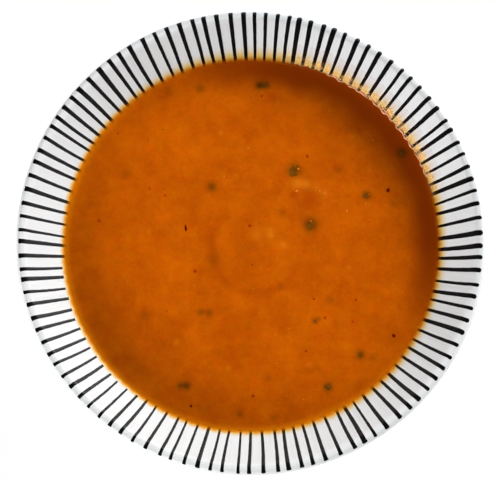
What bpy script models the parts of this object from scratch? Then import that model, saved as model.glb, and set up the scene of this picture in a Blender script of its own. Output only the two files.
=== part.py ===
"""Tomato soup in a glazed stoneware bowl.

Two closed solids, each a profile turned about +Z: the bowl, and the soup that fills it up to its level.
Metres, +Z up. The bowl stands on the flat of its foot ring at z = 0, with its axis on the Z axis.
"""
import math

import bmesh
import bpy

# The wall rises from a flat floor along a power curve, half way between its inside and its outside.
RIM_RADIUS = 0.090
BOWL_HEIGHT = 0.050
FLOOR_RADIUS = 0.030
LIP_THICKNESS = 0.0044
BASE_THICKNESS = 0.0056
BASE_MIDDLE_HEIGHT = 0.0062
WALL_POWER = 1.35

# Foot ring: its outside meets the wall's outside at this radius of the wall's middle curve.
FOOT_MIDDLE_RADIUS = 0.0407
FOOT_FLAT_WIDTH = 0.0044
FOOT_TAPER = 0.0010
FOOT_EDGE_ROUND = 0.0008
FOOT_JOINT_ROUND = 0.0018

# Soup: its level is the flat middle, and it climbs the wall a little at its edge.
SOUP_LEVEL = 0.0381
EDGE_RISE = 0.0009
EDGE_WIDTH = 0.0036
SOUP_GAP = 0.0003

# How finely the profiles are cut and turned.
TURN_STEPS = 84
WALL_STEPS = 9
WALL_STEP_POWER = 1.4
LIP_STEPS = 8
CORNER_STEPS = 3
EDGE_STEPS = 4
SOUP_RINGS = 3
SMOOTH_ANGLE = math.radians(40)

# Radius and height of the middle of the rounded lip.
LIP_RADIUS = LIP_THICKNESS / 2
LIP_MIDDLE = (RIM_RADIUS - LIP_RADIUS, BOWL_HEIGHT - LIP_RADIUS)


def clear_scene():
    for old in list(bpy.data.objects):
        bpy.data.objects.remove(old, do_unlink=True)


def make_material(name, colour, roughness):
    material = bpy.data.materials.new(name)
    material.use_nodes = True
    shader = material.node_tree.nodes["Principled BSDF"]
    shader.inputs["Base Color"].default_value = (*colour, 1.0)
    shader.inputs["Roughness"].default_value = roughness
    shader.inputs["Metallic"].default_value = 0.0
    return material


# The wall curve

def wall_share(radius):
    """How far up the wall this radius lies: 0 on the floor, 1 at the middle of the lip."""
    return max(0.0, (radius - FLOOR_RADIUS) / (LIP_MIDDLE[0] - FLOOR_RADIUS))


def wall_angle(radius):
    """Slope of the wall's middle curve at this radius, as an angle from level."""
    steepest = WALL_POWER * (LIP_MIDDLE[1] - BASE_MIDDLE_HEIGHT) / (LIP_MIDDLE[0] - FLOOR_RADIUS)
    return math.atan(steepest * wall_share(radius) ** (WALL_POWER - 1))


def wall_point(radius, side, gap=0.0):
    """Point on the wall's outside (side 1) or inside (side -1), moved off the surface by the gap."""
    share = wall_share(radius)
    height = BASE_MIDDLE_HEIGHT + (LIP_MIDDLE[1] - BASE_MIDDLE_HEIGHT) * share ** WALL_POWER
    thickness = BASE_THICKNESS + (LIP_THICKNESS - BASE_THICKNESS) * share
    away = side * (thickness / 2 + gap)
    angle = wall_angle(radius)
    return (radius + away * math.sin(angle), height - away * math.cos(angle))


def middle_radius_at(height, side, gap):
    """Radius on the middle curve whose inside or outside point lies at this height."""
    low = FLOOR_RADIUS
    high = LIP_MIDDLE[0]
    for _ in range(40):
        middle = (low + high) / 2
        if wall_point(middle, side, gap)[1] < height:
            low = middle
        else:
            high = middle
    return low


def spread(start, end, steps):
    """Evenly spread values from start to end, both included."""
    return [start + (end - start) * step / steps for step in range(steps + 1)]


def wall_radii(start, end):
    """Radii up the wall from start to end, closer together where it curves most."""
    return [start + (end - start) * share ** WALL_STEP_POWER for share in spread(0.0, 1.0, WALL_STEPS)]


# Profiles, as (radius, height) points from the axis below, round the outside, to the axis above

def rounded_corner(before, corner, after, round_off):
    """Points of a corner cut back by round_off along both its sides and joined by a curve."""
    def towards(target):
        length = math.dist(corner, target)
        return tuple(c + (t - c) * round_off / length for c, t in zip(corner, target))

    start = towards(before)
    end = towards(after)
    points = []
    for share in spread(0.0, 1.0, CORNER_STEPS):
        near = (1 - share) ** 2
        middle = 2 * share * (1 - share)
        far = share ** 2
        points.append(tuple(near * s + middle * c + far * e for s, c, e in zip(start, corner, end)))
    return points


def foot_profile(joint, wall_start):
    """The recess under the bowl, the foot ring and its joint with the wall."""
    recess_height = BASE_MIDDLE_HEIGHT - BASE_THICKNESS / 2
    outer_edge = (joint[0] - FOOT_TAPER, 0.0)
    inner_edge = (outer_edge[0] - FOOT_FLAT_WIDTH, 0.0)
    recess_corner = (inner_edge[0] - FOOT_TAPER, recess_height)
    centre = (0.0, recess_height)
    points = [centre]
    points += rounded_corner(centre, recess_corner, inner_edge, FOOT_JOINT_ROUND)
    points += rounded_corner(recess_corner, inner_edge, outer_edge, FOOT_EDGE_ROUND)
    points += rounded_corner(inner_edge, outer_edge, joint, FOOT_EDGE_ROUND)
    points += rounded_corner(outer_edge, joint, wall_start, FOOT_JOINT_ROUND)
    return points


def lip_profile():
    """Half circle over the lip, between the ends of the outside and the inside curve."""
    outside_angle = wall_angle(LIP_MIDDLE[0]) - math.pi / 2
    points = []
    for angle in spread(outside_angle, outside_angle + math.pi, LIP_STEPS):
        radius = LIP_MIDDLE[0] + LIP_RADIUS * math.cos(angle)
        points.append((radius, LIP_MIDDLE[1] + LIP_RADIUS * math.sin(angle)))
    return points


def bowl_profile():
    joint = wall_point(FOOT_MIDDLE_RADIUS, 1)
    outside_radii = wall_radii(FOOT_MIDDLE_RADIUS + 2 * FOOT_JOINT_ROUND, LIP_MIDDLE[0])
    outside = [wall_point(radius, 1) for radius in outside_radii]
    inside = [wall_point(radius, -1) for radius in wall_radii(FLOOR_RADIUS, LIP_MIDDLE[0])]
    floor_centre = wall_point(0.0, -1)
    return foot_profile(joint, outside[0]) + outside[:-1] + lip_profile() + inside[-2::-1] + [floor_centre]


def soup_profile():
    """Underside along the inside of the wall, then the edge that climbs it, then the level top."""
    edge_middle = middle_radius_at(SOUP_LEVEL + EDGE_RISE, -1, SOUP_GAP)
    points = [wall_point(0.0, -1, SOUP_GAP)]
    points += [wall_point(radius, -1, SOUP_GAP) for radius in wall_radii(FLOOR_RADIUS, edge_middle)]
    edge_radius = points[-1][0]
    for share in spread(1.0, 0.0, EDGE_STEPS)[1:]:
        points.append((edge_radius - EDGE_WIDTH * (1 - share), SOUP_LEVEL + EDGE_RISE * share ** 2))
    for radius in spread(edge_radius - EDGE_WIDTH, 0.0, SOUP_RINGS)[1:]:
        points.append((radius, SOUP_LEVEL))
    return points


# Solids

def turn(name, profile, material):
    """Turn a profile that starts and ends on the axis into a closed solid."""
    mesh = bmesh.new()
    bottom = mesh.verts.new((0.0, 0.0, profile[0][1]))
    top = mesh.verts.new((0.0, 0.0, profile[-1][1]))
    rings = []
    for radius, height in profile[1:-1]:
        ring = []
        for step in range(TURN_STEPS):
            angle = 2 * math.pi * step / TURN_STEPS
            ring.append(mesh.verts.new((radius * math.cos(angle), radius * math.sin(angle), height)))
        rings.append(ring)
    for step in range(TURN_STEPS):
        following = (step + 1) % TURN_STEPS
        mesh.faces.new((bottom, rings[0][following], rings[0][step]))
        for lower, upper in zip(rings, rings[1:]):
            mesh.faces.new((lower[step], lower[following], upper[following], upper[step]))
        mesh.faces.new((rings[-1][step], rings[-1][following], top))
    bmesh.ops.recalc_face_normals(mesh, faces=mesh.faces)
    data = bpy.data.meshes.new(name)
    mesh.to_mesh(data)
    mesh.free()
    data.shade_smooth()
    data.set_sharp_from_angle(angle=SMOOTH_ANGLE)
    data.materials.append(material)
    solid = bpy.data.objects.new(name, data)
    bpy.context.scene.collection.objects.link(solid)
    return solid


def make_bowl():
    glaze = make_material("white_glaze", colour=(0.82, 0.81, 0.78), roughness=0.22)
    return turn("bowl", bowl_profile(), glaze)


def make_soup():
    tomato = make_material("tomato_soup", colour=(0.56, 0.10, 0.004), roughness=0.35)
    return turn("soup", soup_profile(), tomato)


clear_scene()
make_bowl()
make_soup()
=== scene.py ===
"""Looks of a bowl of tomato soup, built round its packed bowl and soup. Metres, +Z up."""
import math

import bpy
import numpy as np
from mathutils import Matrix, Vector, noise


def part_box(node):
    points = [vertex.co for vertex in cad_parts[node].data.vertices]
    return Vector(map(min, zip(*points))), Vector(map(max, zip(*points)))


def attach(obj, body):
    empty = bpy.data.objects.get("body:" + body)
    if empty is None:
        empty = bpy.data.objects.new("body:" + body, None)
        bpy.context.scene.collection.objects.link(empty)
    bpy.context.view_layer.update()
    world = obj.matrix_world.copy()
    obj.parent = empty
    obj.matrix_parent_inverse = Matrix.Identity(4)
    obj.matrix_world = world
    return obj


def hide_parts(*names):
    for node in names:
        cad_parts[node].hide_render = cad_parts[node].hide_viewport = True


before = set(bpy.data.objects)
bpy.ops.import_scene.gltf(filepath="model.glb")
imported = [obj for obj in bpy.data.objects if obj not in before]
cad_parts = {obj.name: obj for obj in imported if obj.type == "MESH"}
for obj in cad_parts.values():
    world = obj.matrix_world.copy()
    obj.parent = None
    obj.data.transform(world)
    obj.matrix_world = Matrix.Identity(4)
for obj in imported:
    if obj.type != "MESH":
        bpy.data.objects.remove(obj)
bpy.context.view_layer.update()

bowl_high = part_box("bowl")[1]
soup_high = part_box("soup")[1]
MM = 0.001

# The bowl's turned form, as in the CAD solids.
RIM_RADIUS = bowl_high.x
BOWL_HEIGHT = bowl_high.z
FLOOR_RADIUS = 30 * MM
LIP_RADIUS = 2.2 * MM
BASE_THICKNESS = 5.6 * MM
BASE_MIDDLE_HEIGHT = 6.2 * MM
WALL_POWER = 1.35
FOOT_MIDDLE_RADIUS = 40.7 * MM
FOOT_FLAT_WIDTH = 4.4 * MM
FOOT_TAPER = 1.0 * MM
FOOT_EDGE_ROUND = 0.8 * MM
FOOT_JOINT_ROUND = 1.8 * MM
LIP_MIDDLE = (RIM_RADIUS - LIP_RADIUS, BOWL_HEIGHT - LIP_RADIUS)
SHOULDER_EASE = 0.6 * MM
BOWL_STEPS = 360

# The unevenness of a bowl thrown by hand. It grows quickly towards the rim.
UNEVEN_POWER = 6
OVAL_SHARE = 0.0054
OVAL_HEADING = math.radians(-12)
RIM_SHIFT = 0.67 * MM
RIM_SHIFT_HEADING = math.radians(113)
WOBBLE_SHARE = 0.0012
RIM_LIFT = 0.25 * MM

# The soup's level, and the curve by which its edge climbs the wall.
SOUP_LEVEL = soup_high.z - 1.15 * MM
SOUP_RADIUS = 74.4 * MM
EDGE_RADIUS = 73.3 * MM
EDGE_SHIFT = 0.10 * MM
EDGE_SHIFT_HEADING = math.radians(110)
CONTACT_OUT = 1.9 * MM
CLIMB_LENGTH = 1.6 * MM
EDGE_INWARD = 5.0 * MM
FILM_WIDTH = 2.0 * MM
FILM_THICKNESS = 0.11 * MM
INTO_WALL = 0.15 * MM
SOUP_STEPS = 720
SOUP_TOP_ROWS = 105
SOUP_WALL_ROWS = 14
SOUP_EDGE_ROWS = 40

# Painted stripes. They lie a little proud of the glaze, with their edges sunk in it.
STRIPE_COUNT = 110
STRIPE_WIDTH = 1.66 * MM
STRIPE_WIDTH_SPREAD = 0.12
STRIPE_WIDTH_SWING = 0.12
STRIPE_PROUD = 0.06 * MM
STRIPE_SUNK = 0.05 * MM
STRIPE_ROUGH = 0.055 * MM
PITCH_SPREAD = 0.105
# The first of a stripe's steps are close together, in this share of its length, to round its start.
STRIPE_STEPS = 54
STRIPE_CAP_STEPS = 13
STRIPE_CAP_SHARE = 0.05
# How far a stripe usually leans and bows sideways, in millimetres.
STRIPE_LEAN = 0.22
STRIPE_BOW = 0.13

# A stripe starts this many degrees round the lip from its outermost point, more at the left and right than at
# the top and bottom. It ends this far inside the soup's edge, but sooner by that gap in the lower left, and
# right at the edge under the froth.
STRIPE_START = 45
STRIPE_START_SWING = 12.7
STRIPE_INTO_SOUP = 0.75 * MM
STRIPE_GAP = 1.9 * MM

# Headings on the table, anticlockwise from +X. The wall on the window's side is in shade and has the froth.
KEY_HEADING = math.radians(50)
FROTH_HEADING = math.radians(47)
# Painted shade on the soup's edge, where the wall's shadow falls, is centred on this heading.
PAINTED_SHADE_HEADING = math.radians(42)
# Painted light on the lip is kept off this side, where the lamp already glares.
GLARE_HEADING = math.radians(38)
SHADED_HEADING = math.radians(62)
STRIPE_GAP_HEADING = math.radians(210)
ROUNDED_HEADING = math.radians(30)
FRONT_HEADING = math.radians(298)

# The table's own brightness and half its width in metres, the glow that gloss mirrors at the window, the
# light that the table throws back, and the faint light from all round.
FLOOR_GLOW = 0.93
FLOOR_REACH = 1.5
SHEEN = 1.75
BOUNCE = 0.36
AMBIENT = 0.012

# Soft lamps, as (name, heading and elevation in degrees, width, height, radiance, whether gloss mirrors it).
LAMP_DISTANCE = 1.2
LAMPS = (
    ("key", 50, 19, 0.82, 0.20, 6.0, True),
    ("key_soft", 50, 19, 0.82, 0.20, 28.0, False),
    ("key_side", 10, 17.7, 0.48, 0.18, 18.8, False),
    ("fill", 226, 20, 1.7, 0.24, 8.1, False),
    ("fill_west", 180, 20, 1.0, 0.22, 9.8, False),
    ("fill_south", 272, 20, 1.3, 0.22, 5.3, False),
)

SHARP_ANGLE = math.radians(50)
rng = np.random.default_rng(11)


# Turned form

def wall_share(radius):
    """How far up the wall a radius lies: 0 on the floor, 1 at the middle of the lip."""
    return np.maximum(0.0, (np.asarray(radius, float) - FLOOR_RADIUS) / (LIP_MIDDLE[0] - FLOOR_RADIUS))


def wall_angle(radius):
    steepest = WALL_POWER * (LIP_MIDDLE[1] - BASE_MIDDLE_HEIGHT) / (LIP_MIDDLE[0] - FLOOR_RADIUS)
    return np.arctan(steepest * wall_share(radius) ** (WALL_POWER - 1))


def wall_point(radius, side):
    """Radius and height on the wall's outside (side 1) or inside (side -1)."""
    share = wall_share(radius)
    height = BASE_MIDDLE_HEIGHT + (LIP_MIDDLE[1] - BASE_MIDDLE_HEIGHT) * share ** WALL_POWER
    away = side * (BASE_THICKNESS + (2 * LIP_RADIUS - BASE_THICKNESS) * share) / 2
    angle = wall_angle(radius)
    return radius + away * np.sin(angle), height - away * np.cos(angle)


def lip_point(angle):
    return LIP_MIDDLE[0] + LIP_RADIUS * np.cos(angle), LIP_MIDDLE[1] + LIP_RADIUS * np.sin(angle)


INSIDE_RADII, INSIDE_HEIGHTS = wall_point(np.linspace(FLOOR_RADIUS, LIP_MIDDLE[0], 400), -1)
LIP_INNER_ANGLE = float(wall_angle(LIP_MIDDLE[0])) + math.pi / 2


def inside_height(radius):
    return np.interp(radius, INSIDE_RADII, INSIDE_HEIGHTS)


def shaped(radius, height, angle):
    """Points of the turned form, pushed out of true as a hand-thrown bowl is. Takes and gives arrays."""
    uneven = (height / BOWL_HEIGHT) ** UNEVEN_POWER
    oval = OVAL_SHARE * np.cos(2 * (angle - OVAL_HEADING))
    wobble = WOBBLE_SHARE * (np.sin(3 * angle + 1.1) + 0.5 * np.sin(5 * angle + 4.0))
    reach = radius * (1 + uneven * (oval + wobble))
    lift = RIM_LIFT * uneven * (np.sin(2 * angle + 0.7) + 0.5 * np.sin(3 * angle + 2.0))
    x = reach * np.cos(angle) + uneven * RIM_SHIFT * math.cos(RIM_SHIFT_HEADING)
    y = reach * np.sin(angle) + uneven * RIM_SHIFT * math.sin(RIM_SHIFT_HEADING)
    return np.stack(np.broadcast_arrays(x, y, height + lift), -1)


def softened(points, spread):
    """The same profile with its corners eased over that distance, as points 0.1 mm apart."""
    lengths = np.concatenate([[0], np.cumsum(np.linalg.norm(np.diff(points, axis=0), axis=1))])
    even = np.arange(0, lengths[-1], 0.1 * MM)
    weights = np.exp(-0.5 * (np.arange(-30, 31) * 0.1 * MM / spread) ** 2)
    sides = []
    for side in points.T:
        padded = np.pad(np.interp(even, lengths, side), 30, mode="reflect", reflect_type="odd")
        sides.append(np.convolve(padded, weights / weights.sum(), mode="valid"))
    return np.stack(sides, -1)


def inner_path():
    """Profile from the outermost point of the lip, over it and down the inside wall to the floor."""
    lip = np.stack(lip_point(np.linspace(0, LIP_INNER_ANGLE, 40)), -1)
    wall = np.stack(wall_point(np.linspace(LIP_MIDDLE[0], FLOOR_RADIUS, 200), -1), -1)
    return softened(np.concatenate([lip, wall[1:]]), SHOULDER_EASE)


def toward(angle, heading):
    """1 on the side that the heading points to, falling smoothly to 0 on the opposite side."""
    return 0.5 + 0.5 * np.cos(angle - heading)


def smooth_step(low, high, value):
    share = np.clip((value - low) / (high - low), 0, 1)
    return share * share * (3 - 2 * share)


def waver(angles, counts, seed):
    """A smooth, seeded wave round the bowl, about -1 to 1, from sines with those whole counts."""
    phases = np.random.default_rng(seed).uniform(0, 2 * math.pi, len(counts))
    waves = [np.sin(count * angles + phase) for count, phase in zip(counts, phases)]
    return sum(waves) / math.sqrt(len(counts))


# Meshes

def make_piece(name, points, faces, material):
    data = bpy.data.meshes.new(name)
    data.from_pydata([tuple(point) for point in points], [], faces)
    data.validate()
    data.shade_smooth()
    data.set_sharp_from_angle(angle=SHARP_ANGLE)
    data.materials.append(material)
    piece = bpy.data.objects.new(name, data)
    bpy.context.scene.collection.objects.link(piece)
    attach(piece, "root")
    return piece


def grid_faces(rows, columns, closed, first=0):
    """Quads between rows of points. A closed grid joins the last column to the first."""
    faces = []
    for row in range(rows - 1):
        for column in range(columns if closed else columns - 1):
            following = (column + 1) % columns
            near = first + row * columns
            far = near + columns
            faces.append((near + column, near + following, far + following, far + column))
    return faces


def set_attribute(piece, name, values):
    attribute = piece.data.attributes.new(name, "FLOAT", "POINT")
    attribute.data.foreach_set("value", np.ascontiguousarray(values, np.float32).ravel())


# Materials

def new_material(name):
    material = bpy.data.materials.new(name)
    material.use_nodes = True
    return material, material.node_tree, material.node_tree.nodes["Principled BSDF"]


def node(tree, kind, inputs=(), **properties):
    """A shader node. An input is given by its name or place, as a constant or as a socket to link."""
    made = tree.nodes.new("ShaderNode" + kind)
    for name, value in properties.items():
        setattr(made, name, value)
    for key, value in dict(inputs).items():
        if isinstance(value, bpy.types.NodeSocket):
            tree.links.new(value, made.inputs[key])
        else:
            made.inputs[key].default_value = value
    return made


def place(tree):
    return node(tree, "TexCoord").outputs["Object"]


def noise_value(tree, scale, detail=2.0, roughness=0.5, vector=None):
    made = node(tree, "TexNoise", {"Scale": scale, "Detail": detail, "Roughness": roughness})
    tree.links.new(vector or place(tree), made.inputs["Vector"])
    return made.outputs["Fac"]


def maths(tree, operation, first, second=0.0):
    return node(tree, "Math", {0: first, 1: second}, operation=operation).outputs[0]


def remap(tree, value, low, high, to_low, to_high):
    inputs = {"Value": value, "From Min": low, "From Max": high, "To Min": to_low, "To Max": to_high}
    return node(tree, "MapRange", inputs).outputs["Result"]


def blend(tree, factor, first, second):
    """One colour or the other by the factor. Plain colours are three numbers."""
    inputs = {0: factor}
    for key, colour in ((6, first), (7, second)):
        inputs[key] = colour if isinstance(colour, bpy.types.NodeSocket) else (*colour, 1.0)
    return node(tree, "Mix", inputs, data_type="RGBA").outputs[2]


def bump(tree, shader, height, distance, strength=1.0):
    made = node(tree, "Bump", {"Height": height, "Distance": distance, "Strength": strength})
    tree.links.new(made.outputs["Normal"], shader.inputs["Normal"])


def attribute(tree, name):
    return node(tree, "Attribute", attribute_name=name).outputs["Fac"]


def streak_value(tree, height):
    """Noise drawn out up the wall: about a millimetre across and many long, as a brush leaves it."""
    flat = node(tree, "VectorMath", {0: place(tree), 1: (1, 1, 0)}, operation="MULTIPLY").outputs[0]
    outward = node(tree, "VectorMath", {0: flat}, operation="NORMALIZE").outputs[0]
    spread = node(tree, "VectorMath", {0: outward, "Scale": 95.0}, operation="SCALE").outputs[0]
    rise = node(tree, "CombineXYZ", {2: maths(tree, "MULTIPLY", height, 55.0)}).outputs[0]
    at = node(tree, "VectorMath", {0: spread, 1: rise}, operation="ADD").outputs[0]
    return noise_value(tree, 1.0, 3, 0.65, vector=at)


GLAZE_GREY = (0.790, 0.804, 0.806)
GLAZE_WHITE = (0.840, 0.855, 0.860)
GLAZE_STREAK = (0.700, 0.708, 0.715)
# Painted light: brighter glaze inside the lip.
GLAZE_PAINTED_LIGHT = (0.930, 0.940, 0.945)
# Painted shade: greyer glaze over the lip's outer edge on the shaded side.
GLAZE_PAINTED_SHADE = (0.740, 0.754, 0.775)
CLAY_DARK = (0.42, 0.35, 0.27)
CLAY_LIGHT = (0.58, 0.50, 0.41)
STRIPE_BLACK = (0.0026, 0.0027, 0.0030)
STRIPE_GREY = (0.0062, 0.0065, 0.0072)


def glaze_material():
    """Glossy white glaze, brushed on in streaks, with bare stoneware under the foot."""
    material, tree, shader = new_material("white_glaze")
    height = node(tree, "SeparateXYZ", {0: place(tree)}).outputs["Z"]
    streaks = streak_value(tree, height)
    cloud = blend(tree, noise_value(tree, 55, 3), GLAZE_GREY, GLAZE_WHITE)
    streaked = blend(tree, remap(tree, streaks, 0.32, 0.5, 0.45, 0.0), cloud, GLAZE_STREAK)
    # Painted light brightens the glaze inside the lip.
    lip_painted_light = blend(tree, attribute(tree, "lip_painted_light"), streaked, GLAZE_PAINTED_LIGHT)
    # Painted shade darkens the glaze over the lip's outer edge on the shaded side.
    white = blend(tree, attribute(tree, "thin"), lip_painted_light, GLAZE_PAINTED_SHADE)
    ragged = maths(tree, "ADD", height, remap(tree, noise_value(tree, 260, 2), 0, 1, -0.5 * MM, 0.5 * MM))
    bare = remap(tree, ragged, 1.0 * MM, 1.4 * MM, 1.0, 0.0)
    clay = blend(tree, noise_value(tree, 900, 3), CLAY_DARK, CLAY_LIGHT)
    tree.links.new(blend(tree, bare, white, clay), shader.inputs["Base Color"])
    tree.links.new(remap(tree, bare, 0, 1, 0.24, 0.75), shader.inputs["Roughness"])
    shader.inputs["Specular IOR Level"].default_value = 0.45
    bump(tree, shader, streaks, 0.04 * MM, 0.5)
    return material


def stripe_material():
    material, tree, shader = new_material("black_stripe_glaze")
    streaks = noise_value(tree, 480, 3, 0.6)
    black = blend(tree, streaks, STRIPE_BLACK, STRIPE_GREY)
    tree.links.new(black, shader.inputs["Base Color"])
    shader.inputs["Roughness"].default_value = 0.26
    shader.inputs["Specular IOR Level"].default_value = 0.45
    return material


SOUP_DARK = (0.480, 0.0745, 0.0003)
SOUP_LIGHT = (0.725, 0.1370, 0.0006)
# Painted shade: the darker, redder soup along its edge in the wall's shadow.
PAINTED_SHADE_SOUP = (0.350, 0.0470, 0.0002)
RED_SOUP = (0.400, 0.0360, 0.0004)
HERB_STAIN = (0.085, 0.0300, 0.0008)
PULP_LIGHT = (0.820, 0.2100, 0.0060)
# Golden thin soup at the edge: partly the thin film's own colour, partly painted light on the lit side.
GOLDEN_SOUP_AND_PAINTED_LIGHT = (0.960, 0.3000, 0.0040)
FROTH_COLOUR = (0.970, 0.5500, 0.2000)
# Soft stains of what floats in the soup, and painted shade along its shadowed edge, as (attribute, colour).
STAINS_AND_PAINTED_SHADE = (("painted_shade", PAINTED_SHADE_SOUP), ("pulp", PULP_LIGHT), ("red", RED_SOUP), ("herb", HERB_STAIN))
# Two colours, between which what floats or bubbles is mottled.
WET_COLOURS = {
    "herb": ((0.004, 0.0010, 0.0001), (0.380, 0.1230, 0.0040)),
    "pepper": ((0.100, 0.0030, 0.0005), (0.240, 0.0120, 0.0006)),
    "skin_fleck": ((0.290, 0.0220, 0.0004), (0.470, 0.0480, 0.0006)),
    "tomato_skin": ((0.250, 0.0180, 0.0010), (0.420, 0.0450, 0.0010)),
    "tomato_pulp": ((0.720, 0.1500, 0.0010), (0.900, 0.2500, 0.0080)),
    # Pale froth threads: partly froth's own colour, partly a painted highlight of the wet edge's glint.
    "froth": ((0.900, 0.3300, 0.1200), (0.980, 0.6400, 0.4000)),
    "bubble": ((0.930, 0.4200, 0.1300), (0.980, 0.7800, 0.5200)),
}


def soup_colour(tree):
    """The soup's mottled orange, with what floats just under its surface as soft stains, and painted shade
    along its edge where the wall's shadow falls.
    """
    tone = attribute(tree, "tone")
    fine = remap(tree, noise_value(tree, 650, 3, 0.65), 0.25, 0.75, -0.15, 0.15)
    middle = remap(tree, noise_value(tree, 170, 2), 0.25, 0.75, -0.26, 0.26)
    broad = remap(tree, noise_value(tree, 60, 2), 0.25, 0.75, -0.24, 0.24)
    factor = maths(tree, "ADD", maths(tree, "ADD", tone, fine), maths(tree, "ADD", middle, broad))
    clamped = node(tree, "Clamp", {0: factor}).outputs[0]
    fine_hue = remap(tree, noise_value(tree, 900, 3, 0.65), 0.25, 0.75, -0.13, 0.13)
    slow_hue = remap(tree, noise_value(tree, 210, 2), 0.25, 0.75, 0.90, 1.10)
    hue = node(tree, "CombineXYZ", {0: 1, 1: maths(tree, "ADD", fine_hue, slow_hue), 2: 1}).outputs[0]
    toned = blend(tree, clamped, SOUP_DARK, SOUP_LIGHT)
    colour = node(tree, "VectorMath", {0: toned, 1: hue}, operation="MULTIPLY").outputs[0]
    # Each stain, and the painted shade, is laid over the soup's colour.
    for stain, stained in STAINS_AND_PAINTED_SHADE:
        colour = blend(tree, attribute(tree, stain), colour, stained)
    return colour


def soup_finish(tree, shader, colour):
    tree.links.new(colour, shader.inputs["Base Color"])
    tree.links.new(remap(tree, noise_value(tree, 300, 2), 0.3, 0.7, 0.17, 0.25), shader.inputs["Roughness"])
    shader.inputs["Specular IOR Level"].default_value = 0.35
    bump(tree, shader, noise_value(tree, 520, 3, 0.6), 0.10 * MM, 0.35)


def soup_material():
    material, tree, shader = new_material("tomato_soup")
    soup_finish(tree, shader, soup_colour(tree))
    return material


def edge_material():
    """The soup's thin edge. Its cover hides the wall behind it, and its tint colours what still shows."""
    material, tree, shader = new_material("tomato_soup_edge")
    froth = attribute(tree, "froth")
    # Golden edge, laid only on the lit side: partly the thin soup's own colour, partly painted light.
    golden = blend(tree, attribute(tree, "gold"), soup_colour(tree), GOLDEN_SOUP_AND_PAINTED_LIGHT)
    soup_finish(tree, shader, blend(tree, froth, golden, FROTH_COLOUR))
    tint = node(tree, "CombineColor", {
        0: attribute(tree, "tint_red"),
        1: attribute(tree, "tint_green"),
        2: attribute(tree, "tint_blue"),
    }).outputs[0]
    clear = node(tree, "BsdfTransparent", {0: tint}).outputs[0]
    uneven = remap(tree, noise_value(tree, 420, 2), 0.35, 0.65, -0.25, 0.35)
    patchy = maths(tree, "ADD", attribute(tree, "cover"), maths(tree, "MULTIPLY", uneven, froth))
    cover = node(tree, "Clamp", {0: patchy}).outputs[0]
    mixed = node(tree, "MixShader", {0: cover, 1: clear, 2: shader.outputs[0]})
    tree.links.new(mixed.outputs[0], tree.nodes["Material Output"].inputs["Surface"])
    return material


def wet_material(name, scale, glint=0.8, roughness=0.14):
    """Something wet and glinting, mottled between its two colours."""
    material, tree, shader = new_material("wet_" + name)
    mottled = blend(tree, noise_value(tree, scale, 3, 0.6), *WET_COLOURS[name])
    tree.links.new(mottled, shader.inputs["Base Color"])
    shader.inputs["Roughness"].default_value = roughness
    shader.inputs["Specular IOR Level"].default_value = glint
    return material


# Bowl

def rounded_corner(before, corner, after, round_off, steps=6):
    """Points of a corner cut back by round_off along both its sides and joined by a curve."""
    corner = np.array(corner, float)
    ends = []
    for other in (before, after):
        side = np.array(other, float) - corner
        ends.append(corner + side * round_off / np.linalg.norm(side))
    shares = np.linspace(0, 1, steps + 1)[:, None]
    return (1 - shares) ** 2 * ends[0] + 2 * shares * (1 - shares) * corner + shares ** 2 * ends[1]


def foot_profile(joint, wall_start):
    """The recess under the bowl, the foot ring and its joint with the wall."""
    recess_height = BASE_MIDDLE_HEIGHT - BASE_THICKNESS / 2
    outer_edge = (joint[0] - FOOT_TAPER, 0.0)
    inner_edge = (outer_edge[0] - FOOT_FLAT_WIDTH, 0.0)
    recess_corner = (inner_edge[0] - FOOT_TAPER, recess_height)
    centre = (0.0, recess_height)
    recess = [(radius, recess_height) for radius in np.linspace(2 * MM, 30 * MM, 8)]
    return np.concatenate([
        recess,
        rounded_corner(centre, recess_corner, inner_edge, FOOT_JOINT_ROUND),
        rounded_corner(recess_corner, inner_edge, outer_edge, FOOT_EDGE_ROUND),
        rounded_corner(inner_edge, outer_edge, joint, FOOT_EDGE_ROUND),
        rounded_corner(outer_edge, joint, wall_start, FOOT_JOINT_ROUND),
    ])


def bowl_profile():
    """Profile from the recess under the bowl round its outside and over the lip to the floor inside.

    The inner path is taken at every third point for its first 9 mm, over the lip, and every fifteenth below.
    """
    outside_start = FOOT_MIDDLE_RADIUS + 2 * FOOT_JOINT_ROUND
    outside = np.stack(wall_point(np.linspace(outside_start, LIP_MIDDLE[0], 40), 1), -1)
    lip = np.stack(lip_point(np.linspace(LIP_INNER_ANGLE - math.pi, 0, 11)), -1)
    inner = inner_path()
    inside = np.concatenate([inner[:90:3], inner[90::15]])
    floor = [(radius, INSIDE_HEIGHTS[0]) for radius in np.linspace(27 * MM, 2 * MM, 6)]
    joint = [float(value) for value in wall_point(FOOT_MIDDLE_RADIUS, 1)]
    return np.concatenate([foot_profile(joint, outside[0]), outside[:-1], lip[:-1], inside, floor])


def paint_glaze(piece, out, up, heading):
    """Painted light on the glaze inside the lip, kept off where the lamp already glares, and painted shade
    over the lip's outer edge, strongest on the shaded side.
    """
    high = smooth_step(40 * MM, 46 * MM, up)
    front = smooth_step(0.62, 0.85, toward(heading, FRONT_HEADING))
    outermost = smooth_step(87.3 * MM, 88.9 * MM, out) * (1 - front)
    glare = smooth_step(0.68, 0.90, toward(heading, GLARE_HEADING))
    lip_painted_light = high * smooth_step(85.0 * MM, 87.2 * MM, out) * (1 - outermost)
    thin = high * smooth_step(87.2 * MM, 89.2 * MM, out)
    # Painted light inside the lip, kept off the side where the lamp glares.
    set_attribute(piece, "lip_painted_light", lip_painted_light * (1 - glare))
    # Painted shade over the lip's outer edge, strongest on the shaded side.
    set_attribute(piece, "thin", thin * toward(heading, SHADED_HEADING) ** 1.5)


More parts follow.
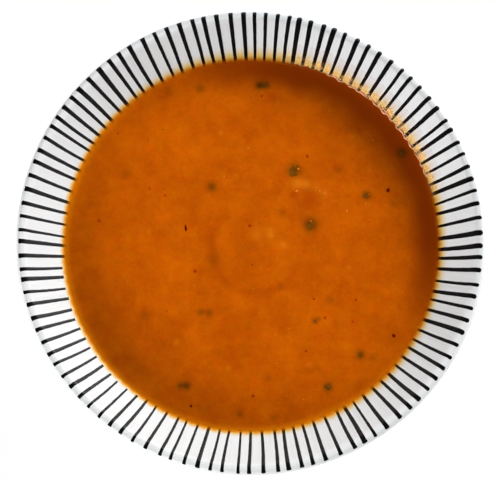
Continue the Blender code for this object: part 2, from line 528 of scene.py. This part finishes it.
def make_bowl():
    profile = bowl_profile()
    steps = BOWL_STEPS
    angles = np.arange(steps) * 2 * math.pi / steps
    points = shaped(profile[:, :1], profile[:, 1:], angles[None, :]).reshape(-1, 3)
    faces = grid_faces(len(profile), steps, closed=True)
    middles = [(0, 0, profile[0][1]), (0, 0, profile[-1][1])]
    under, over = len(points), len(points) + 1
    last = len(points) - steps
    for step in range(steps):
        following = (step + 1) % steps
        faces.append((under, following, step))
        faces.append((over, last + step, last + following))
    points = np.concatenate([points, middles])
    piece = make_piece("glazed_bowl", points, faces, glaze_material())
    out = np.concatenate([np.repeat(profile[:, 0], steps), [0, 0]])
    up = np.concatenate([np.repeat(profile[:, 1], steps), [0, 0]])
    heading = np.concatenate([np.tile(angles, len(profile)), [0, 0]])
    paint_glaze(piece, out, up, heading)
    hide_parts("bowl")
    return piece


# Stripes

def stripe_headings():
    """Where the stripes sit round the rim: evenly meant, unevenly painted."""
    pitches = np.clip(rng.normal(1.0, PITCH_SPREAD, STRIPE_COUNT), 0.74, 1.26)
    ends = np.cumsum(pitches) * 2 * math.pi / pitches.sum()
    return ends - ends[0] * 0.5


def stripe_path():
    """Length, radius, height and outward slope from the outermost point of the lip down the inside wall."""
    path = inner_path()
    path = path[path[:, 0] > 66 * MM]
    steps = np.gradient(path, axis=0)
    slopes = np.arctan2(steps[:, 1], steps[:, 0]) - math.pi / 2
    lengths = np.concatenate([[0], np.cumsum(np.linalg.norm(np.diff(path, axis=0), axis=1))])
    return lengths, path[:, 0], path[:, 1], np.unwrap(slopes)


def stripe_clearance(heading):
    """How much sooner a stripe ends at the lower left, where bare glaze shows, and at the froth."""
    bare = smooth_step(0.937, 0.970, toward(heading, STRIPE_GAP_HEADING))
    return STRIPE_GAP * bare + STRIPE_INTO_SOUP * frothy(heading)


def brushed_edge(seed, side, length):
    """How far one edge of a stripe strays, at each length along it."""
    strays = []
    for at in length:
        coarse = noise.noise((seed + 50 * side, at * 420, 0))
        strays.append(coarse + 0.5 * noise.noise((seed, side, at * 1500)))
    return STRIPE_ROUGH * np.array(strays)


def stripe_ends(heading, headings, lengths, radii):
    """Lengths down the path at which a stripe starts on the lip and ends at the soup."""
    start_degrees = STRIPE_START + STRIPE_START_SWING * math.cos(2 * heading) + rng.uniform(-2, 2)
    last_radius = edge_radius(heading, headings) - STRIPE_INTO_SOUP + stripe_clearance(heading)
    last_radius += rng.uniform(-0.2, 0.2) * MM
    return LIP_RADIUS * math.radians(start_degrees), np.interp(-last_radius, -radii, lengths)


def stripe_half_width(heading, share, length):
    """Half a stripe's width along it. Its start is well rounded on the upper right, and broader elsewhere."""
    rounded = smooth_step(0.45, 0.85, toward(heading, ROUNDED_HEADING))
    width = STRIPE_WIDTH * (1 + STRIPE_WIDTH_SWING * math.cos(heading - SHADED_HEADING))
    width *= np.clip(rng.normal(1, STRIPE_WIDTH_SPREAD), 0.80, 1.28)
    taper = 1.16 - 0.36 * share + (0.16 * np.exp(-share / 0.07)) * (1 - rounded)
    edge = width * (0.16 + 0.44 * rounded)
    cap = np.sqrt(np.clip(1 - (1 - np.clip((length - length[0]) / edge, 0.0, 1)) ** 2, 0.02, 1))
    return width / 2 * taper * cap


def make_stripes(headings):
    """One piece of all the stripes, each a thin closed strip, broader at the lip and rounded at its start."""
    lengths, radii, heights, slopes = stripe_path()
    across = np.array([-1, -0.72, 0, 0.72, 1])
    proud = np.array([-STRIPE_SUNK, 0.85 * STRIPE_PROUD, STRIPE_PROUD, 0.85 * STRIPE_PROUD, -STRIPE_SUNK])
    cap_shares = np.linspace(0, STRIPE_CAP_SHARE, STRIPE_CAP_STEPS + 1)[:-1]
    share = np.concatenate([cap_shares, np.linspace(STRIPE_CAP_SHARE, 1, STRIPE_STEPS - STRIPE_CAP_STEPS)])
    points, faces = [], []
    for heading in headings:
        start, end = stripe_ends(heading, headings, lengths, radii)
        length = start + (end - start) * share
        half = stripe_half_width(heading, share, length)
        lean = rng.normal(0, STRIPE_LEAN) * MM * (share - 0.5)
        bow = rng.normal(0, STRIPE_BOW) * MM * np.sin(math.pi * share)
        seed = rng.uniform(0, 1000)
        sides = [brushed_edge(seed, side, length) for side in (0, 1)]
        rough = np.where(across < 0, sides[0][:, None], sides[1][:, None]) * np.abs(across)
        offset = across * half[:, None] + (lean + bow)[:, None] + rough
        radius = np.interp(length, lengths, radii)
        height = np.interp(length, lengths, heights)
        slope = np.interp(length, lengths, slopes)
        out = radius[:, None] + proud * np.cos(slope)[:, None]
        up = height[:, None] + proud * np.sin(slope)[:, None]
        strip = shaped(out, up, heading + offset / radius[:, None])
        first = len(points)
        points.extend(strip.reshape(-1, 3))
        faces.extend(tuple(reversed(face)) for face in grid_faces(len(length), 5, closed=True, first=first))
        faces.append(tuple(first + column for column in range(5)))
        last = len(points) - 5
        faces.append(tuple(last + column for column in reversed(range(5))))
    return make_piece("painted_stripes", points, faces, stripe_material())


# Soup

def frothy(angle):
    """1 where froth lies along the soup's edge, 0 elsewhere."""
    return smooth_step(0.90, 0.96, toward(angle, FROTH_HEADING))


def edge_radius(angle, headings):
    """Radius where the soup stops showing the wall through it, scalloped between the stripes."""
    loops = np.interp(angle % (2 * math.pi), *stripe_phase(headings))
    scallop = -np.cos(2 * math.pi * loops) * (0.12 + 0.10 * frothy(angle))
    shift = EDGE_SHIFT * np.cos(angle - EDGE_SHIFT_HEADING)
    return EDGE_RADIUS + shift + (scallop + 0.09 * waver(angle, (3, 7, 12, 19), 3)) * MM


def film_width(angle):
    """Width of the thin film left on the wall outside that radius."""
    right = 5.0 * toward(angle, SHADED_HEADING) ** 4
    return FILM_WIDTH + (right + 1.6 * toward(angle, math.radians(315)) ** 6) * MM


def climb_share(away):
    """How much of its climb the surface still has at a distance from the wall."""
    return np.exp(-away / CLIMB_LENGTH)


def stripe_phase(headings):
    """Headings and running numbers of the stripes, carried past a full turn at both ends."""
    turns = np.concatenate([headings - 2 * math.pi, headings, headings + 2 * math.pi])
    order = np.argsort(turns)
    return turns[order], np.arange(len(turns))


# Herbs in the soup, as (x, y, size of the stain, its strength, size of the flake that shows) in millimetres
# from the bowl's axis.
HERBS = (
    (3.0, 62.8, 4.2, 0.95, 0.0), (5.8, 63.0, 3.8, 0.85, 1.6), (-20.5, 61.6, 4.0, 0.50, 0.0),
    (-15.5, 22.5, 5.0, 0.70, 0.0), (17.0, 29.3, 6.4, 0.75, 5.6), (23.2, 7.6, 6.6, 0.90, 3.6),
    (45.0, 19.0, 4.4, 0.90, 1.6), (59.0, 36.0, 5.0, 0.95, 2.4), (-19.6, -26.6, 3.6, 0.50, 0.0),
    (-16.2, -26.8, 4.0, 0.55, 0.0), (42.5, -43.0, 4.0, 0.85, 1.8), (30.0, -55.5, 4.2, 0.90, 2.4),
    (-27.4, -55.2, 3.2, 0.60, 0.0), (-24.8, -55.0, 4.0, 0.85, 1.4), (25.0, -30.0, 3.0, 0.65, 0.9),
    (26.6, -29.0, 2.0, 0.45, 0.0), (-4.0, -66.0, 3.4, 0.50, 0.0), (-33.0, 61.0, 4.0, 0.30, 0.0),
    (9.0, -67.5, 3.0, 0.35, 0.0), (31.0, -21.5, 4.2, 0.28, 0.0), (47.5, -44.5, 3.4, 0.30, 0.0),
    (34.0, 29.0, 4.0, 0.28, 0.0), (12.0, 12.0, 4.4, 0.28, 0.0), (-49.0, 27.5, 4.4, 0.30, 0.0),
    (-41.0, -28.0, 4.2, 0.30, 0.0), (-15.0, -5.5, 6.6, 0.30, 0.0), (55.5, 15.5, 3.6, 0.30, 0.0),
    (7.0, -52.0, 3.6, 0.30, 0.0), (12.0, -17.0, 3.4, 0.28, 0.0),
)
# Specks of pepper, then the redder flecks of tomato skin, as (x, y, size).
PEPPER = ((53.4, 21.1, 0.9), (55.4, -35.6, 0.85), (-23, -63, 0.6))
SKIN_FLECKS = (
    (40.7, -21.7, 0.6), (24.5, -21.4, 0.55), (28.8, -28.7, 0.6), (21.4, -41.7, 0.6), (-59.6, 9.2, 0.7),
    (-52.6, 43.8, 0.5), (-21.8, -10.6, 0.75), (1.0, -59, 0.8), (-0.5, 7.2, 0.75), (4, 58.5, 0.6),
    (21.9, 34.6, 0.75), (39.6, -30.2, 0.5), (-39.9, 21.9, 0.5), (-33.8, 19.2, 0.5),
)
# One grain of pepper is a splinter, given as (x, y, half length, half width, height, heading in degrees).
SPLINTER = (-25.6, 6.4, 1.5, 0.60, 0.12, 95)
# Glistening bits of tomato pulp, given like the splinter.
GLINTS = (
    (28.5, 19.8, 0.62, 0.46, 0.40, 20), (17.7, 20.9, 0.55, 0.38, 0.40, 10), (37.4, 12.9, 0.6, 0.3, 0.25, 60),
    (26.8, 20.9, 0.35, 0.3, 0.25, 0), (13.0, -0.6, 0.3, 0.25, 0.2, 0), (18.4, 29.6, 0.55, 0.42, 0.55, 70),
    (23.3, 9.0, 0.38, 0.28, 0.40, 10), (46.0, 19.5, 0.25, 0.2, 0.3, 0),
)
# Paler patches of pulp, redder patches, and the soup's lighter and darker places, as (x, y, size, strength).
PULP = (
    (18.0, 24.0, 4.2, 0.70), (21.5, 23.4, 3.6, 0.60), (25.5, 22.2, 3.6, 0.40), (7.3, 5.4, 2.5, 0.50),
    (7.7, 3.2, 2.6, 0.55), (2.5, 3.8, 5.0, 0.38), (12.4, -0.3, 2.8, 0.55), (28.5, 19.8, 2.4, 0.50),
    (-29, -38.5, 2.2, 0.40), (-8.5, -48.5, 2.0, 0.40), (22.5, -47, 2.4, 0.40), (-6, 27, 2.0, 0.35),
    (38, -9, 1.6, 0.40), (-40, 5, 2.2, 0.35), (-12, 44, 1.8, 0.40),
)
RED_PATCHES = ((16.4, 19.3, 3.6, 0.60), (21.5, 16.8, 8, 0.34), (8, 58, 5, 0.35))
TONES = (
    (-2.5, -2.0, 11, -0.34), (-1, -8, 12, -0.18), (5, 5, 10, 0.24), (11.5, -0.5, 9, 0.18), (-30, 8, 44, 0.08),
    (-10, -40, 30, -0.10),
)
# Threads of froth, as (first and last heading in degrees, then in millimetres the distance outside the soup's
# edge, half the thickness and how far it loops). Their pale colour is partly a painted highlight for the
# glint along the soup's wet edge.
FROTH_THREADS = (
    (21, 29.5, 0.00, 0.24, 0.0), (30, 40.5, 0.00, 0.34, 0.0), (41, 51, 0.00, 0.38, 0.0),
    (51.5, 59, 0.05, 0.33, 0.0), (60, 67, 0.00, 0.24, 0.0), (27, 31, 0.60, 0.16, 0.20),
    (34, 38.5, 0.65, 0.20, 0.25), (43, 47, 0.70, 0.22, 0.22), (50, 54, 0.65, 0.20, 0.22),
    (57, 60, 0.60, 0.16, 0.20),
)
SWIRL_MIDDLE = (2 * MM, -1.5 * MM)
SWIRL_RADIUS = 17.6 * MM
LUMP_EDGE_SUNK = 0.04 * MM
LUMP_DEPTH = 0.2 * MM
BUBBLE_COUNT = 70


def spot(x, y, at, size):
    """1 in the middle of a soft round spot of that size, in mm, and 0 well outside it."""
    return np.exp(-((x - at[0] * MM) ** 2 + (y - at[1] * MM) ** 2) / (0.42 * size * MM) ** 2)


def patches(x, y, places, widened=1.0):
    """The soft spots of those places, each (x, y, size, strength), added up."""
    return sum(place[3] * spot(x, y, place, place[2] * widened) for place in places)


def swirl_arc(x, y, width):
    """The dark furrow of a stirred swirl, open to the upper right."""
    across = x - SWIRL_MIDDLE[0]
    along = y - SWIRL_MIDDLE[1]
    ring = np.exp(-((np.hypot(across, along) - SWIRL_RADIUS) / width) ** 2)
    return ring * smooth_step(-0.5, 0.4, np.cos(np.arctan2(along, across) + 2.15))


def soup_tones(x, y):
    """The soup's slow lights and darks: a stirred swirl near the middle and a few patches."""
    return 0.5 - 0.20 * swirl_arc(x, y, 2.0 * MM) + patches(x, y, TONES)


def soup_relief(x, y):
    """Height of the soup's gentle waves above its level."""
    waves = []
    for px, py in zip(x.ravel(), y.ravel()):
        slow = noise.noise((px * 45, py * 45, 3.0))
        quick = 0.35 * noise.noise((px * 160, py * 160, 9.0))
        waves.append(slow + quick + 0.12 * noise.noise((px * 420, py * 420, 15.0)))
    calm = 1 - smooth_step(60 * MM, 67 * MM, np.hypot(x, y))
    lumps = sum(0.10 * spot(x, y, at, at[2] * 0.9) for at in PULP)
    furrow = 0.08 * swirl_arc(x, y, 2.6 * MM)
    return (0.12 * np.reshape(waves, x.shape) + lumps - furrow) * MM * calm


def painted_shade_share(x, y):
    """Painted shade: where the soup is made darker and redder along its edge on the frothy side, in the
    wall's shadow.
    """
    heading = np.arctan2(y, x)
    side = smooth_step(0.62, 0.90, toward(heading, PAINTED_SHADE_HEADING))
    uneven = 0.012 * waver(heading, (9, 16, 29), 8)
    return side * smooth_step(0.81, 0.925, np.hypot(x, y) / SOUP_RADIUS + uneven)


def paint_soup(piece, x, y):
    halos = sum(0.45 * spot(x, y, speck, speck[2] * 2.4) for speck in PEPPER + SKIN_FLECKS)
    looks = {
        "tone": soup_tones(x, y),
        # Painted shade along the soup's edge in the wall's shadow.
        "painted_shade": painted_shade_share(x, y),
        "herb": patches(x, y, HERBS),
        "red": patches(x, y, RED_PATCHES) + 0.18 * swirl_arc(x, y, 1.6 * MM) + halos,
        "pulp": patches(x, y, PULP, 1.3),
    }
    for name, values in looks.items():
        set_attribute(piece, name, np.clip(values, 0, 1))


def surface_height(radius, angle, headings):
    """Height of the soup, of its climbing edge or of the film on the wall."""
    contact = edge_radius(angle, headings) + CONTACT_OUT
    rise = inside_height(contact) - SOUP_LEVEL
    level = SOUP_LEVEL + rise * climb_share(np.maximum(contact - radius, 0))
    wall = shaped(radius, inside_height(radius), angle)[..., 2]
    return np.maximum(level, wall + FILM_THICKNESS)


def surface_rows(headings, shares, angles):
    """Rows of the soup's surface near its edge, from share 0 at the open soup to 1 at the film's end.

    Gives the points, and how far each lies inside the soup's edge, less than 0 for the film outside it.
    """
    angles = angles[None, :]
    inside = EDGE_INWARD - shares[:, None] * (EDGE_INWARD + film_width(angles))
    radius = edge_radius(angles, headings) - inside
    rows = shaped(radius, inside_height(radius), angles)
    rows[..., 2] = surface_height(radius, angles, headings)
    return rows, inside


def make_soup(headings):
    steps = SOUP_STEPS
    angles = np.arange(steps) * 2 * math.pi / steps
    outer = surface_rows(headings, np.array([0.0]), angles)[0][0]
    edge = edge_radius(angles, headings) - EDGE_INWARD
    rise = inside_height(edge + EDGE_INWARD + CONTACT_OUT) - SOUP_LEVEL
    shares = np.linspace(0.02, 1, SOUP_TOP_ROWS)[:, None]
    leftover = rise * climb_share(EDGE_INWARD + CONTACT_OUT + edge * (1 - shares))
    top = outer[None, :, :] * shares[..., None]
    top[..., 2] = SOUP_LEVEL + leftover + soup_relief(top[..., 0], top[..., 1])
    wall_radii = np.linspace(edge.min(), FLOOR_RADIUS, SOUP_WALL_ROWS)
    rows = [top.reshape(-1, 3)]
    for wall_radius in wall_radii:
        height = inside_height(wall_radius) - INTO_WALL
        rows.append(shaped(np.full(steps, wall_radius), np.full(steps, height), angles))
    middles = [(0, 0, top[0, :, 2].mean()), (0, 0, INSIDE_HEIGHTS[0] - INTO_WALL)]
    points = np.concatenate(rows + [middles])
    count = len(shares) + len(wall_radii)
    faces = [tuple(reversed(face)) for face in grid_faces(count, steps, closed=True)]
    middle, bottom = len(points) - 2, len(points) - 1
    last = (count - 1) * steps
    for step in range(steps):
        following = (step + 1) % steps
        faces.append((middle, step, following))
        faces.append((bottom, last + following, last + step))
    piece = make_piece("soup_body", points, faces, soup_material())
    paint_soup(piece, points[:, 0], points[:, 1])
    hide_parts("soup")
    return piece


def edge_looks(angles, inside, headings):
    """How the soup's edge looks at each heading and distance inside its edge, by attribute.

    The film thickens inwards from nothing at its outer end, over a length that differs round the bowl.
    """
    froth_side = frothy(angles)[None, :]
    sunny = 1 - smooth_step(0.25, 0.75, toward(angles, FROTH_HEADING))[None, :]
    thickness = 1.92 * np.clip(1 + inside / film_width(angles)[None, :], 0, None)
    tinting = thickness * (1 - froth_side) + np.minimum(thickness, 1.5) * froth_side
    beyond = smooth_step(-0.15 * MM, 0.15 * MM, inside)
    cover = smooth_step(-1.2 * MM, 1.5 * MM, inside)
    loops = np.interp(angles, *stripe_phase(headings))[None, :]
    between = 0.6 - 0.4 * np.cos(2 * math.pi * loops)
    froth_cover = between * (0.10 + 0.30 * smooth_step(0.9, 1.7, thickness))
    return {
        "cover": cover * (1 - froth_side) + np.maximum(froth_cover, beyond) * froth_side,
        # Golden thin soup on the side away from the froth, which faces the lamps: partly its own colour,
        # partly painted light.
        "gold": 0.6 * sunny * (1 - smooth_step(-0.6 * MM, 3.4 * MM, inside)),
        "froth": froth_side * (1 - beyond) * smooth_step(0.8, 1.3, thickness),
        "tint_red": np.exp(-0.015 * tinting ** 3.5),
        "tint_green": np.exp(-0.16 * tinting ** 2.5),
        "tint_blue": np.exp(-0.43 * tinting ** 3.0),
    }


def make_soup_edge(headings):
    steps = SOUP_STEPS
    angles = np.arange(steps) * 2 * math.pi / steps
    rows, inside = surface_rows(headings, np.linspace(0, 1, SOUP_EDGE_ROWS), angles)
    skirt = rows[:1] - np.array([0, 0, INTO_WALL])
    rows = np.concatenate([skirt, rows])
    inside = np.concatenate([inside[:1], inside])
    faces = grid_faces(len(rows), steps, closed=True)
    piece = make_piece("soup_edge", rows.reshape(-1, 3), faces, edge_material())
    paint_soup(piece, rows[..., 0].ravel(), rows[..., 1].ravel())
    for name, values in edge_looks(angles, inside, headings).items():
        set_attribute(piece, name, values)
    piece.visible_shadow = False
    return piece


# What floats in the soup, and the froth along its edge

def round_noise(seed, reach, turns):
    """Smooth noise along a circle of that reach, a value for each turn."""
    return np.array([noise.noise((seed, reach * math.cos(turn), reach * math.sin(turn))) for turn in turns])


def make_lumps(name, lumps, material, rings=3, sides=12, crumple=0.25):
    """One piece of low, uneven domes, each sunk a little into the soup.

    A lump is (x, y, z, half length, half width, height, heading) in metres and radians.
    """
    points, faces = [], []
    turns = np.arange(sides) * 2 * math.pi / sides
    for x, y, z, length, width, height, heading in lumps:
        seed = rng.uniform(0, 1000)
        outline = 1 + crumple * round_noise(seed, 1.3, turns)
        first = len(points)
        points.append((x, y, z + height))
        for share in np.linspace(0, 1, rings + 1)[1:]:
            along = length * share * outline * np.cos(turns)
            across = width * share * outline * np.sin(turns)
            dip = crumple * height * round_noise(seed + 7, 2 * share, turns)
            up = z + height * (1 - share ** 2.2) - LUMP_EDGE_SUNK * share + dip
            px = x + along * math.cos(heading) - across * math.sin(heading)
            py = y + along * math.sin(heading) + across * math.cos(heading)
            points.extend(np.stack([px, py, up], -1))
        points.append((x, y, z - LUMP_DEPTH))
        inner = first + 1
        rim = inner + (rings - 1) * sides
        faces.extend((first, inner + step, inner + (step + 1) % sides) for step in range(sides))
        faces.extend(tuple(reversed(face)) for face in grid_faces(rings, sides, closed=True, first=inner))
        under = len(points) - 1
        faces.extend((under, rim + (step + 1) % sides, rim + step) for step in range(sides))
    return make_piece(name, points, faces, material)


def resting(x, y, length, width, height, heading):
    """A lump, given in millimetres and degrees, set at the soup's surface."""
    level = SOUP_LEVEL + soup_relief(np.array([x * MM]), np.array([y * MM]))[0]
    return (x * MM, y * MM, level, length * MM, width * MM, height * MM, math.radians(heading))


def scattered(count, reach, smallest, largest, height):
    """Small lumps strewn evenly over the open soup, within that reach, all in millimetres."""
    lumps = []
    for _ in range(count):
        out = reach * math.sqrt(rng.uniform())
        turn = rng.uniform(0, 2 * math.pi)
        size = smallest + (largest - smallest) * rng.uniform() ** 2.2
        narrow = size * rng.uniform(0.55, 1.0)
        middle = (out * math.cos(turn), out * math.sin(turn))
        lumps.append(resting(*middle, size, narrow, height, rng.uniform(0, 180)))
    return lumps


def specks(places, long, wide, height):
    """Nearly round lumps at places (x, y, size), that many times their size long and wide from the middle."""
    return [resting(x, y, size * long, size * wide, height, rng.uniform(0, 180)) for x, y, size in places]


def make_floating_bits():
    flakes = []
    for x, y, _, _, size in HERBS:
        for _ in range(3 if size else 0):
            away = rng.uniform(-0.2, 0.2, 2) * size
            middle = (x + away[0], y + away[1])
            flakes.append(resting(*middle, 0.36 * size, 0.26 * size, 0.14, rng.uniform(0, 180)))
    make_lumps("herb_flakes", flakes, wet_material("herb", 750, 0.5, 0.2), rings=5, sides=18, crumple=0.7)
    pepper = specks(PEPPER, 1.15, 0.90, 0.14) + [resting(*SPLINTER)]
    make_lumps("pepper_grains", pepper, wet_material("pepper", 300, 0.3))
    flecks = specks(SKIN_FLECKS, 1.10, 0.85, 0.10) + scattered(22, 66, 0.25, 0.55, 0.05)
    make_lumps("skin_flecks", flecks, wet_material("skin_fleck", 75, 0.3))
    skins = scattered(260, 69, 0.14, 0.42, 0.03)
    make_lumps("skin_specks", skins, wet_material("tomato_skin", 900, 0.4, 0.22), rings=2, sides=7)
    pulp = [resting(*glint) for glint in GLINTS] + scattered(80, 68, 0.18, 0.60, 0.04)
    make_lumps("pulp_bits", pulp, wet_material("tomato_pulp", 700, 0.5, 0.2), rings=4, sides=16)


def froth_point(heading, out, headings):
    """A point on the froth's surface, that far outside the soup's edge, in metres."""
    radius = edge_radius(heading, headings) + out
    point = shaped(radius, inside_height(radius), heading)
    point[..., 2] = surface_height(radius, heading, headings)
    return point


def make_froth_glint_line(headings):
    """The bright wet line where froth meets open soup: thin threads of it, broken, doubled and looped. Their
    pale colour is partly a painted highlight for the glint along the soup's wet edge.
    """
    points, faces = [], []
    around = np.arange(8) * math.pi / 4
    for start, end, out, thickness, looped in FROTH_THREADS:
        heading = np.radians(np.arange(start, end, 0.25))
        loops = np.interp(heading, *stripe_phase(headings))
        swing = looped * np.cos(2 * math.pi * loops) + 0.13 * waver(heading, (61, 97, 173), int(start))
        middle = froth_point(heading, (out + swing) * MM, headings)
        ends = np.minimum(np.arange(len(heading)), np.arange(len(heading))[::-1]) / 5
        thick = thickness * MM * np.sqrt(np.clip(ends, 0.05, 1)) * (1 + 0.3 * waver(heading, (83, 151), 5))
        middle[:, 2] += 0.55 * thick
        away = thick[:, None] * np.cos(around)
        ring = np.stack([
            away * np.cos(heading)[:, None],
            away * np.sin(heading)[:, None],
            thick[:, None] * np.sin(around),
        ], -1)
        first = len(points)
        points.extend((middle[:, None, :] + ring).reshape(-1, 3))
        faces.extend(grid_faces(len(heading), len(around), closed=True, first=first))
        faces.append(tuple(first + side for side in reversed(range(len(around)))))
        faces.append(tuple(len(points) - len(around) + side for side in range(len(around))))
    # The pale threads are partly a painted highlight; they cast no shadow.
    make_piece("froth_glint_line", points, faces, wet_material("froth", 420, 0.6, 0.25)).visible_shadow = False


def make_bubbles(headings):
    """Small bubbles strewn in the froth, crowded towards its middle."""
    bubbles = []
    for _ in range(BUBBLE_COUNT):
        heading = FROTH_HEADING + math.radians(rng.normal(0, 13))
        x, y, z = froth_point(heading, rng.uniform(0.1, 2.4) * MM, headings)
        size = rng.uniform(0.18, 0.48) * MM
        bubbles.append((x, y, z, size, size * rng.uniform(0.7, 1.0), size * 0.7, rng.uniform(0, 3)))
    material = wet_material("bubble", 1300)
    piece = make_lumps("froth_bubbles", bubbles, material, rings=4, sides=10, crumple=0.15)
    piece.visible_shadow = False


# Stage

def make_floor():
    """A pale table that shines by itself, so that it stays even. Only gloss and the camera see it."""
    material, _, shader = new_material("pale_floor")
    shader.inputs["Base Color"].default_value = (0.10, 0.10, 0.10, 1)
    shader.inputs["Roughness"].default_value = 1.0
    shader.inputs["Specular IOR Level"].default_value = 0.0
    shader.inputs["Emission Color"].default_value = (1, 1, 1, 1)
    shader.inputs["Emission Strength"].default_value = FLOOR_GLOW
    data = bpy.data.meshes.new("floor")
    corners = [(x * FLOOR_REACH, y * FLOOR_REACH, 0) for x, y in ((-1, -1), (1, -1), (1, 1), (-1, 1))]
    data.from_pydata(corners, [], [(0, 1, 2, 3)])
    data.materials.append(material)
    floor = bpy.data.objects.new("floor", data)
    bpy.context.scene.collection.objects.link(floor)
    floor.visible_diffuse = False


def make_light(name, heading, elevation, width, height, radiance, glossy):
    """A soft panel that faces the soup from a heading and an elevation in degrees."""
    data = bpy.data.lights.new(name, "AREA")
    data.shape = "RECTANGLE"
    data.size = width
    data.size_y = height
    data.energy = radiance * math.pi * width * height
    light = bpy.data.objects.new(name, data)
    bpy.context.scene.collection.objects.link(light)
    turn = math.radians(heading)
    rise = math.radians(elevation)
    away = Vector((math.cos(rise) * math.cos(turn), math.cos(rise) * math.sin(turn), math.sin(rise)))
    light.location = away * LAMP_DISTANCE + Vector((0, 0, SOUP_LEVEL))
    light.rotation_euler = away.to_track_quat("Z", "Y").to_euler()
    light.visible_glossy = glossy


def make_world():
    """White behind the object, with a soft light from below that stands for what the table throws back.

    Gloss alone also mirrors a low glow from the window's side.
    """
    world = bpy.data.worlds.new("studio")
    bpy.context.scene.world = world
    world.use_nodes = True
    tree = world.node_tree
    background = tree.nodes["Background"]
    background.inputs["Color"].default_value = (1, 1, 1, 1)
    direction = node(tree, "TexCoord").outputs["Generated"]
    window = (math.cos(KEY_HEADING - 0.1), math.sin(KEY_HEADING - 0.1), 0.0)
    facing = node(tree, "VectorMath", {0: direction, 1: window}, operation="DOT_PRODUCT").outputs["Value"]
    height = node(tree, "SeparateXYZ", {0: direction}).outputs["Z"]
    low = maths(tree, "POWER", remap(tree, height, 0, 1, 1, 0), 2.0)
    glow = maths(tree, "POWER", remap(tree, facing, -0.6, 1, 0, 1), 1.3)
    rays = node(tree, "LightPath").outputs
    sheen = maths(tree, "MULTIPLY", maths(tree, "MULTIPLY", glow, low), SHEEN)
    glossy = maths(tree, "MULTIPLY", sheen, rays["Is Glossy Ray"])
    bounced = remap(tree, height, -0.05, 0.0, BOUNCE, AMBIENT)
    seen = node(tree, "Mix", {0: rays["Is Camera Ray"], 2: bounced, 3: 1.0}).outputs[0]
    tree.links.new(maths(tree, "ADD", seen, glossy), background.inputs["Strength"])


def make_camera():
    """Almost straight above, leaning a few degrees towards the viewer."""
    distance = 0.70
    tilt = math.radians(6.35)
    heading = math.radians(-70)
    field = 0.1918
    away = Vector((math.sin(tilt) * math.cos(heading), math.sin(tilt) * math.sin(heading), math.cos(tilt)))
    data = bpy.data.cameras.new("camera")
    data.sensor_width = 36
    data.lens = data.sensor_width * distance / field
    camera = bpy.data.objects.new("camera", data)
    bpy.context.scene.collection.objects.link(camera)
    aim = Vector((0.05 * MM, 0.54 * MM, BOWL_HEIGHT))
    right = (Vector((1, 0, 0)) - away * away.x).normalized()
    turned = Matrix((right, away.cross(right), away)).transposed()
    camera.matrix_world = Matrix.Translation(aim + away * distance) @ turned.to_4x4()
    bpy.context.scene.camera = camera


make_camera()
make_world()
make_floor()
for lamp in LAMPS:
    make_light(*lamp)
bpy.context.scene.view_settings.view_transform = "Standard"

headings = stripe_headings()
make_bowl()
make_stripes(headings)
make_soup(headings)
make_soup_edge(headings)
make_floating_bits()
make_froth_glint_line(headings)
make_bubbles(headings)
